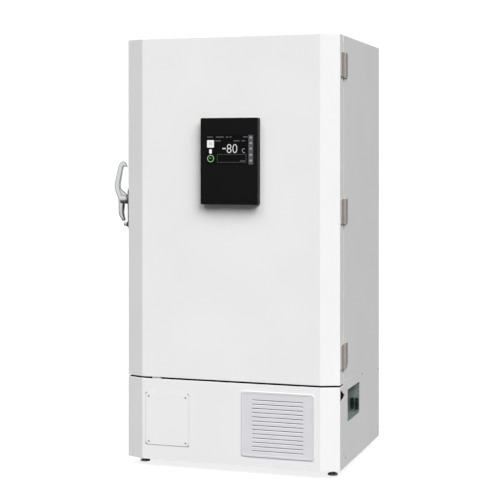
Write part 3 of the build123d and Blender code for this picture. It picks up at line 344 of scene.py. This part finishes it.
def plated_casting():
    """Chrome plate over a polished zinc casting: mirror bright with slow waves in its surface."""
    material, tree = new_material("chrome_plated_casting")
    waves = grain(tree, 22.0, detail=2.0)
    haze = grain(tree, 4.0, detail=3.0)
    surface(
        tree,
        Base_Color=between(tree, haze, "#D6D7D9", "#E2E3E5"),
        Metallic=1.0,
        Roughness=between(tree, haze, 0.1, 0.2),
        Normal=relief(tree, waves, 0.05),
    )
    return material


def zinc_plated_steel(name="zinc_plated_steel", tone=("#8F9C99", "#A2AFAB")):
    """Galvanised sheet: greenish grey with a faint spangle."""
    material, tree = new_material(name)
    where = add(tree, "ShaderNodeTexCoord").outputs["Object"]
    spangle = add(tree, "ShaderNodeTexVoronoi", {"Vector": where, "Scale": 1 / (7.0 * MM)}).outputs["Color"]
    patch = add(tree, "ShaderNodeRGBToBW", {"Color": spangle}).outputs[0]
    surface(
        tree,
        Base_Color=between(tree, patch, *tone),
        Metallic=0.4,
        Roughness=between(tree, patch, 0.38, 0.55),
    )
    return material


def painted_chassis():
    """Black electrocoat on the frame and compressors: thin, even and half matt."""
    material, tree = new_material("black_electrocoat")
    peel = grain(tree, 2.0, detail=3.0)
    surface(
        tree,
        Base_Color=between(tree, grain(tree, 60.0), "#121314", "#1A1B1C"),
        Roughness=between(tree, peel, 0.4, 0.55),
        IOR=1.5,
        Normal=relief(tree, peel, 0.02),
    )
    return material


def moulded_black_abs():
    """Black ABS with a spark-eroded texture, as on the switches."""
    material, tree = new_material("moulded_black_abs")
    texture = grain(tree, 0.7, detail=2.0)
    surface(
        tree,
        Base_Color=between(tree, grain(tree, 40.0), "#1A1B1C", "#212324"),
        Roughness=between(tree, texture, 0.38, 0.5),
        IOR=1.53,
        Normal=relief(tree, texture, 0.03),
    )
    return material


def housing_black_abs():
    """The panel's housing: black ABS with a deep matt texture that mirrors little of the white door."""
    material, tree = new_material("matt_housing_black_abs")
    texture = grain(tree, 0.8, detail=2.0)
    surface(
        tree,
        Base_Color=between(tree, grain(tree, 60.0), "#313437", "#383B3E"),
        Roughness=between(tree, texture, 0.5, 0.6),
        IOR=1.53,
        Specular_IOR_Level=0.02,
        Normal=relief(tree, texture, 0.03),
    )
    return material


def painted_slot_shade():
    """Black, dead matt sheet that paints the shade in the slot above it, so that the slot reads as a dark line."""
    material, tree = new_material("painted_slot_shade_black")
    cells = grain(tree, 0.8, detail=3.0)
    surface(
        tree,
        Base_Color=between(tree, cells, "#0A0A0A", "#141414"),
        Roughness=0.95,
        Specular_IOR_Level=0.1,
        Normal=relief(tree, cells, 0.1),
    )
    return material


def panel_lacquer():
    """The panel's printed face: near-black film with a fine satin grain."""
    material, tree = new_material("satin_black_film")
    texture = grain(tree, 0.5, detail=2.0)
    surface(
        tree,
        Base_Color=between(tree, grain(tree, 120.0, detail=1.0), "#0E0E0E", "#101010"),
        Roughness=between(tree, texture, 0.3, 0.36),
        IOR=1.49,
        Specular_IOR_Level=0.08,
        Normal=relief(tree, texture, 0.004),
    )
    return material


def display_glass():
    """Cover glass over an unlit screen: black and clear, with the faintest smear in its gloss."""
    material, tree = new_material("display_cover_glass")
    smear = grain(tree, 35.0, detail=3.0)
    surface(
        tree,
        Base_Color=colour("#040405"),
        Roughness=between(tree, smear, 0.06, 0.12),
        IOR=1.5,
        Specular_IOR_Level=0.08,
    )
    return material


def lit_pixels(name, code, level=1.0):
    """Lit parts of the screen: they shine by themselves, a little uneven as pixels are."""
    material, tree = new_material(name)
    rows = grain(tree, 1.2, detail=1.0)
    surface(
        tree,
        Base_Color=colour("#050505"),
        Roughness=0.4,
        Emission_Color=colour(code),
        Emission_Strength=between(tree, rows, 0.92 * level, 1.02 * level),
    )
    return material


def caster_nylon():
    """Grey nylon of the caster wheels, scuffed on the tread."""
    material, tree = new_material("grey_caster_nylon")
    scuff = grain(tree, 12.0, detail=5.0)
    surface(
        tree,
        Base_Color=between(tree, scuff, "#2A2A2B", "#3A3A3B"),
        Roughness=between(tree, scuff, 0.45, 0.65),
        IOR=1.53,
    )
    return material


def filter_foam():
    """Open-cell foam of the air filter: dark, with 3 mm cells that show as pits, darkest in their middles as
    painted shade.
    """
    material, tree = new_material("open_cell_filter_foam_pit_shade")
    where = add(tree, "ShaderNodeTexCoord").outputs["Object"]
    cells = add(tree, "ShaderNodeTexVoronoi", {"Vector": where, "Scale": 1 / (3.0 * MM)}).outputs["Distance"]
    surface(
        tree,
        # darkest in the middle of each cell: painted shade in the pits
        Base_Color=between(tree, cells, "#0E0E0F", "#3A3B3D", 0.1, 0.6),
        Roughness=0.85,
        Normal=relief(tree, cells, 0.8),
    )
    return material


def mill_aluminium():
    """Plain aluminium of the condenser's fins, left as rolled."""
    material, tree = new_material("mill_finish_aluminium")
    lines = grain(tree, 20.0, detail=4.0, stretch=(8, 8, 0.3))
    surface(
        tree,
        Base_Color=between(tree, lines, "#B9BBBC", "#CBCDCE"),
        Metallic=1.0,
        Roughness=between(tree, lines, 0.35, 0.5),
    )
    return material


white_enamel = baked_white_enamel()
white_abs = moulded_white_abs()
stainless = brushed_stainless()
gasket_grey = extruded_gasket()
hinge_zinc = tumbled_zinc()
# The handle plate: a darker copy of the hinge zinc, partly its own darker finish and partly painted shade of the
# gap behind the lever
plate_zinc_shaded = tumbled_zinc("zinc_plate_with_painted_shade", ("#4A4946", "#5B5A56"))
chrome = plated_casting()
galvanised = zinc_plated_steel()
bright_zinc = zinc_plated_steel("bright_zinc_plating", ("#A8ABAC", "#BFC2C3"))
electrocoat = painted_chassis()
black_abs = moulded_black_abs()
housing_abs = housing_black_abs()
slot_shade_black = painted_slot_shade()
panel_film = panel_lacquer()
glass = display_glass()
nylon = caster_nylon()
foam = rigid_foam()
filter_foam_pit_shade = filter_foam()
aluminium = mill_aluminium()

CORNERS = ("front_left", "front_right", "rear_left", "rear_right")
FINISHES = {
    white_enamel: (
        "outer_case", "door_skin", "base_front_cover", "base_side_left", "base_side_right",
        "base_rear_panel", "rear_panel", "access_plate",
    ),
    white_abs: ("front_frame", "door_liner", "inner_door_upper", "inner_door_lower", "intake_grille", "door_rest"),
    foam: ("insulation", "door_core"),
    stainless: ("inner_liner", "shelves", "shelf_pilasters", "latch_strike", "latch_tongue", "inner_hinges"),
    gasket_grey: ("door_gasket", "inner_gasket_upper", "inner_gasket_lower"),
    hinge_zinc: ("frame_hinge_leaves", "door_hinge_leaves"),
    plate_zinc_shaded: ("handle_plate",),
    chrome: ("handle_lever", "key_lock"),
    black_abs: (
        "switch_bodies", "power_switch", "battery_switch", "power_inlet",
        "inner_pull_upper", "inner_pull_lower", "access_port", "fan_rotor",
    ),
    housing_abs: ("panel_housing",),
    panel_film: ("panel_face",),
    glass: ("panel_display",),
    electrocoat: ("base_frame", "compressors", "fan_shroud"),
    galvanised: ("service_recess",),
    bright_zinc: ("cover_screws", "wall_spacers", "foot_left", "foot_right")
    + tuple(f"caster_fork_{end}" for end in CORNERS),
    nylon: tuple(f"caster_wheel_{end}" for end in CORNERS),
    filter_foam_pit_shade: ("air_filter",),
    aluminium: ("condenser",),
}
for material, nodes in FINISHES.items():
    for node in nodes:
        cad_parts[node].data.materials.clear()
        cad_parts[node].data.materials.append(material)


# Camera: level, turned to the left, with its frame moved down to the photograph's framing
photo_size = 500.0
focal_length = 1308.8  # pixels
horizon_row = 159.9
camera_turn = 18.023  # degrees
camera_place = (1940.0, -5656.0, 1429.0)
sensor = 36.0

camera = bpy.data.objects.new("camera", bpy.data.cameras.new("camera"))
bpy.context.scene.collection.objects.link(camera)
camera.location = place(*camera_place)
camera.rotation_euler = (pi / 2, 0, radians(camera_turn))
camera.data.sensor_width = sensor
camera.data.lens = focal_length / photo_size * sensor
camera.data.shift_y = (horizon_row - photo_size / 2) / photo_size
camera.data.clip_end = 100
bpy.context.scene.camera = camera


# Studio: a pale floor, a white surround, a soft key light from the right, a weak one from the
# left, and one from behind for the back and the left side
def studio_floor():
    deselect()
    bpy.ops.mesh.primitive_plane_add(size=60, location=(0, 0, 0))
    floor = settle(bpy.context.active_object, "studio_floor")
    material, tree = new_material("pale_studio_floor")
    surface(
        tree,
        Base_Color=between(tree, grain(tree, 900.0), "#7C7C7C", "#808080"),
        Roughness=0.9,
        Specular_IOR_Level=0.0,
        Emission_Color=colour("#FFFFFF"),
        Emission_Strength=0.86,
    )
    floor.data.materials.append(material)
    floor.visible_diffuse = floor.visible_glossy = False


def studio_surround(level):
    """White to the camera; an even grey where it lights the object, and a room of soft walls
    where the object mirrors it: bright in front and above, darker to the right and behind."""
    world = bpy.data.worlds.new("studio_surround")
    world.use_nodes = True
    tree = world.node_tree
    tree.nodes.clear()
    way = add(tree, "ShaderNodeTexCoord").outputs["Generated"]
    parts = add(tree, "ShaderNodeSeparateXYZ", {"Vector": way}).outputs
    in_front = between(tree, parts["Y"], 0.7, 0.0, -0.95, -0.35)
    on_left = between(tree, parts["X"], 0.3, 0.0, -0.9, 0.2)
    walls = add(tree, "ShaderNodeMath", {0: in_front, 1: on_left}, operation="ADD").outputs[0]
    walls = add(tree, "ShaderNodeMath", {0: walls, 1: 0.1}, operation="ADD").outputs[0]
    ground = between(tree, parts["Z"], 0.3, 1.0, -0.5, -0.05)
    mirrored = add(tree, "ShaderNodeMath", {0: walls, 1: ground}, operation="MULTIPLY").outputs[0]
    overhead = between(tree, parts["Z"], 0.0, 0.5, 0.3, 0.8)
    mirrored = add(tree, "ShaderNodeMath", {0: mirrored, 1: overhead}, operation="ADD").outputs[0]
    rays = add(tree, "ShaderNodeLightPath").outputs
    lit = add(tree, "ShaderNodeMix", {"Factor": rays["Is Glossy Ray"], "A": level, "B": mirrored}).outputs[0]
    seen = add(tree, "ShaderNodeMix", {"Factor": rays["Is Camera Ray"], "A": lit, "B": 1.05}).outputs[0]
    shade = add(tree, "ShaderNodeBackground", {"Color": colour("#FFFFFF"), "Strength": seen})
    add(tree, "ShaderNodeOutputWorld", {"Surface": shade.outputs[0]})
    bpy.context.scene.world = world


def soft_sun(name, strength, spread, right, up):
    """A wide, far light; right and up give its side and height from the front, in degrees."""
    light = bpy.data.lights.new(name, "SUN")
    light.energy, light.angle = strength, radians(spread)
    lamp = bpy.data.objects.new(name, light)
    bpy.context.scene.collection.objects.link(lamp)
    lamp.rotation_euler = (radians(90 - up), 0, radians(right))
    lamp.visible_glossy = False


studio_floor()
studio_surround(0.12)
soft_sun("key_light", 3.6, 45, 43, 42)
soft_sun("left_light", 1.35, 30, -25, 58)
soft_sun("rear_light", 2.6, 60, -135, 40)
bpy.context.scene.view_settings.view_transform = "Standard"


# Sheet metal: the CAD shells with their folds and edges rounded

def near(value, *places):
    return any(abs(value - p) < 0.1 for p in places)


def millimetres(vertex):
    return Vector(((vertex.co.x - centre_x) / MM, (vertex.co.y - front_y) / MM, vertex.co.z / MM))


def runs_back(edge):
    """True for an edge that runs from front to back."""
    return abs((edge.verts[0].co - edge.verts[1].co).normalized().y) > 0.9


def rounded_shell(node, name, body, radius, picks):
    """A CAD shell whose outer folds, picked by their ends' places, get a small round."""
    piece = from_node(node, name)
    round_edges(piece, radius, segments=3, edges=lambda edge: picks([millimetres(v) for v in edge.verts]))
    return ready(piece, body, white_enamel, [node])


door_bottom, door_top = corner("door_skin", 0).z, corner("door_skin", 1).z
door_back = corner("door_skin", 1).y
cover_top, cover_back = corner("base_front_cover", 1).z, corner("base_front_cover", 1).y
case_bottom, case_top = corner("outer_case", 0).z, corner("outer_case", 1).z
half_width = corner("outer_case", 1).x
fold_radius = 1.6

rounded_shell(
    "door_skin", "door_shell", "door", fold_radius,
    lambda ends: all(near(e.z, door_bottom, door_top) for e in ends) and min(e.y for e in ends) < door_back - 1,
)
rounded_shell(
    "base_front_cover", "cover_shell", "cabinet", fold_radius,
    lambda ends: all(near(e.z, cover_top, corner("base_front_cover", 0).z) for e in ends)
    and max(e.z for e in ends) > cover_top - 1
    and min(e.y for e in ends) < cover_back - 1,
)
rounded_shell(
    "outer_case", "case_shell", "cabinet", fold_radius,
    lambda ends: all(near(e.z, case_bottom, case_top) and near(abs(e.x), half_width) for e in ends)
    and abs(ends[0].y - ends[1].y) > 100,
)


# Painted shade in the slot under the door: the cover's own top face, inset, drawn up and black

shade_sheet_inset, shade_sheet_thickness = 3.0, 0.8
rest_low, rest_high = corner("door_rest", 0), corner("door_rest", 1)
shade_sheet = from_node("base_front_cover", "slot_painted_shade_sheet")
with editing(shade_sheet, faces=lambda face: not (face.normal.z > 0.9 and near(millimetres(face.verts[0]).z, cover_top))):
    bpy.ops.mesh.delete(type="FACE")
with editing(shade_sheet, faces=lambda face: True):
    bpy.ops.mesh.inset(thickness=shade_sheet_inset * MM, use_boundary=True)
    bpy.ops.mesh.select_all(action="INVERT")
    bpy.ops.mesh.delete(type="FACE")
with editing(shade_sheet, faces=lambda face: True):
    bpy.ops.mesh.extrude_region_move(TRANSFORM_OT_translate={"value": (0, 0, shade_sheet_thickness * MM)})
rest_clearance = Vector((0.6, 0.6, 20.0))  # room round the pad that holds the door up
cut(shade_sheet, block("rest_room", rest_low - rest_clearance, rest_high + rest_clearance))
ready(shade_sheet, "cabinet", slot_shade_black)


# Seal behind the access plate: a gasket drawn as a thin grey line round the plate, which also paints the shade of
# the gap round it

seal_reach, seal_thickness, seal_corner = 1.1, 0.5, 4.0
plate_low, plate_high = corner("access_plate", 0), corner("access_plate", 1)
plate_seal_shade_line = block(
    "plate_seal_shade_line",
    (plate_low.x - seal_reach, -seal_thickness, plate_low.z - seal_reach),
    (plate_high.x + seal_reach, 0, plate_high.z + seal_reach),
)
round_edges(plate_seal_shade_line, seal_corner, 4, edges=runs_back)
ready(plate_seal_shade_line, "cabinet", gasket_grey)


# Screws: pan heads with a cross recess

def screw_head(name, middle, axis):
    """A pan head on a front (Y) or right (X) face; middle is on that face."""
    radius, height, crown = 4.5, 1.8, 1.1
    slot_width, slot_length, slot_depth = 1.1, 5.2, 1.0
    out = Vector((0, -1, 0)) if axis == "Y" else Vector((1, 0, 0))
    base = Vector(middle)
    head = rod(name, base + out * height / 2, radius, height, axis, sides=24)
    with editing(head, faces=facing(out)):
        bpy.ops.mesh.bevel(offset=crown * MM, segments=3, affect="EDGES")
    for wide, tall in ((slot_width, slot_length), (slot_length, slot_width)):
        if axis == "Y":
            half = Vector((wide / 2, slot_depth, tall / 2))
        else:
            half = Vector((slot_depth, wide / 2, tall / 2))
        top = base + out * height
        cut(head, block("cross", top - half, top + half))
    smooth(head)
    return head


screw_inset = 16.0
plate_screws = [
    screw_head("plate_screw", (x, plate_low.y, z), "Y")
    for x in (plate_low.x + screw_inset, plate_high.x - screw_inset)
    for z in (plate_low.z + screw_inset, plate_high.z - screw_inset)
]
side_places = ((98, 104), (126, 79), (463, 405), (812, 378), (807, 88))
side_screws = [screw_head("side_screw", (half_width, y, z), "X") for y, z in side_places]
ready(join("cover_screw_heads", plate_screws + side_screws), "cabinet", bright_zinc, ["cover_screws"])


# Screen: what is lit stands a hair's breadth off the glass

screen_low, screen_high = corner("panel_display", 0), corner("panel_display", 1)
lit_thickness = 0.25
figure_thinning = 0.8
figure_share = 0.73  # a figure's height as a share of its font's size


def lit_bar(name, x, z, width, height, radius=0.8):
    """A lit bar or tile with rounded corners, its middle at x and z."""
    low = (x - width / 2, screen_low.y - lit_thickness, z - height / 2)
    bar = block(name, low, (x + width / 2, screen_low.y, z + height / 2))
    round_edges(bar, radius, 3, edges=runs_back)
    return bar


def lit_text(name, body, x, z, size, width=1.0):
    """Lit figures, their lower left corner at x and z, as tall as size."""
    deselect()
    bpy.ops.object.text_add(location=place(x, screen_low.y - lit_thickness, z), rotation=(pi / 2, 0, 0))
    text = bpy.context.active_object
    text.data.body, text.data.size, text.data.extrude = body, size * MM / figure_share, lit_thickness / 2 * MM
    text.data.resolution_u = 4
    text.data.offset = -figure_thinning * MM
    text.scale.x = width
    bpy.ops.object.convert(target="MESH")
    return settle(bpy.context.active_object, name)


def lit_ring(name, x, z, radius, stroke):
    """A lit ring: a disc with its middle taken out."""
    ring = rod(name, (x, screen_low.y - lit_thickness / 2, z), radius, lit_thickness, "Y", sides=48)
    cut(ring, rod("hole", (x, screen_low.y, z), radius - stroke, 4, "Y", sides=48))
    return ring


white_light = lit_pixels("lit_white_pixels", "#F2F2F0")
digit_light = lit_pixels("lit_figure_pixels", "#DDDEDD")
grey_light = lit_pixels("dim_grey_pixels", "#55575A")
mid_light = lit_pixels("mid_grey_pixels", "#97989A")
green_light = lit_pixels("lit_green_pixels", "#8FBF78")

figures = [
    lit_text("figures", "80", -1.5, 1460.0, 43.5, 0.92),
    lit_bar("minus", -12.0, 1480.5, 17.0, 5.0, 1.5),
    lit_text("unit", "°C", 63.5, 1461.0, 22.0, 0.78),
]
ready(join("screen_figures", figures), "door", digit_light)

tile = lit_bar("tile", -77.5, 1502.0, 33.0, 34.0, 3.0)
key_mark = lit_bar("key_mark", -77.6, 1467.5, 12.5, 20.0, 4.0)
ready(join("screen_tiles", [tile, key_mark]), "door", white_light)
ready(lit_bar("screen_tile_middle", -77.5, 1502.5, 15.0, 15.0, 1.5), "door", mid_light)

tick = [lit_bar("tick", -79.0, 1437.0, 11.0, 2.4, 1.0)]
ready(join("screen_ring", [lit_ring("ring", -77.0, 1435.4, 16.6, 3.6)] + tick), "door", green_light)

dashes = [
    (-80.0, 1533.0, 27.0), (-33.0, 1533.0, 38.0), (3.0, 1532.5, 12.0), (19.0, 1533.0, 10.0), (90.0, 1533.0, 21.0),
    (-42.0, 1515.5, 27.0), (47.0, 1515.5, 28.0), (80.0, 1515.5, 17.0), (76.0, 1424.0, 24.0),
]
bars = [lit_bar("dash", x, z, width, 4.2) for x, z, width in dashes]
ready(join("screen_dashes", bars), "door", grey_light)

graph_low, graph_high = (-44.7, 1418.1), (92.8, 1454.3)
graph_middle = ((graph_low[0] + graph_high[0]) / 2, (graph_low[1] + graph_high[1]) / 2)
graph_width, graph_height = graph_high[0] - graph_low[0], graph_high[1] - graph_low[1]
line = 1.3
lines = [lit_bar("graph_line", graph_middle[0], z, graph_width, line, 0.5) for z in (graph_low[1], graph_high[1])]
lines += [lit_bar("graph_line", x, graph_middle[1], line, graph_height, 0.5) for x in (graph_low[0], graph_high[0])]
ready(join("screen_graph_frame", lines), "door", grey_light)

column_x, column_width, column_height = 115.5, 22.0, 133.0
ready(
    lit_bar("screen_menu_column", column_x, (screen_low.z + screen_high.z) / 2, column_width, column_height, 1.0),
    "door", lit_pixels("menu_column_grey", "#4C4D4F"),
)
icon_places = (1530.0, 1505.0, 1480.0, 1452.0, 1426.0)
icons = [lit_bar("icon", column_x, z, 12.0, 8.5, 2.5) for z in icon_places]
for icon in icons:
    icon.data.transform(Matrix.Translation((0, -lit_thickness * MM, 0)))
ready(join("screen_icons", icons), "door", mid_light)
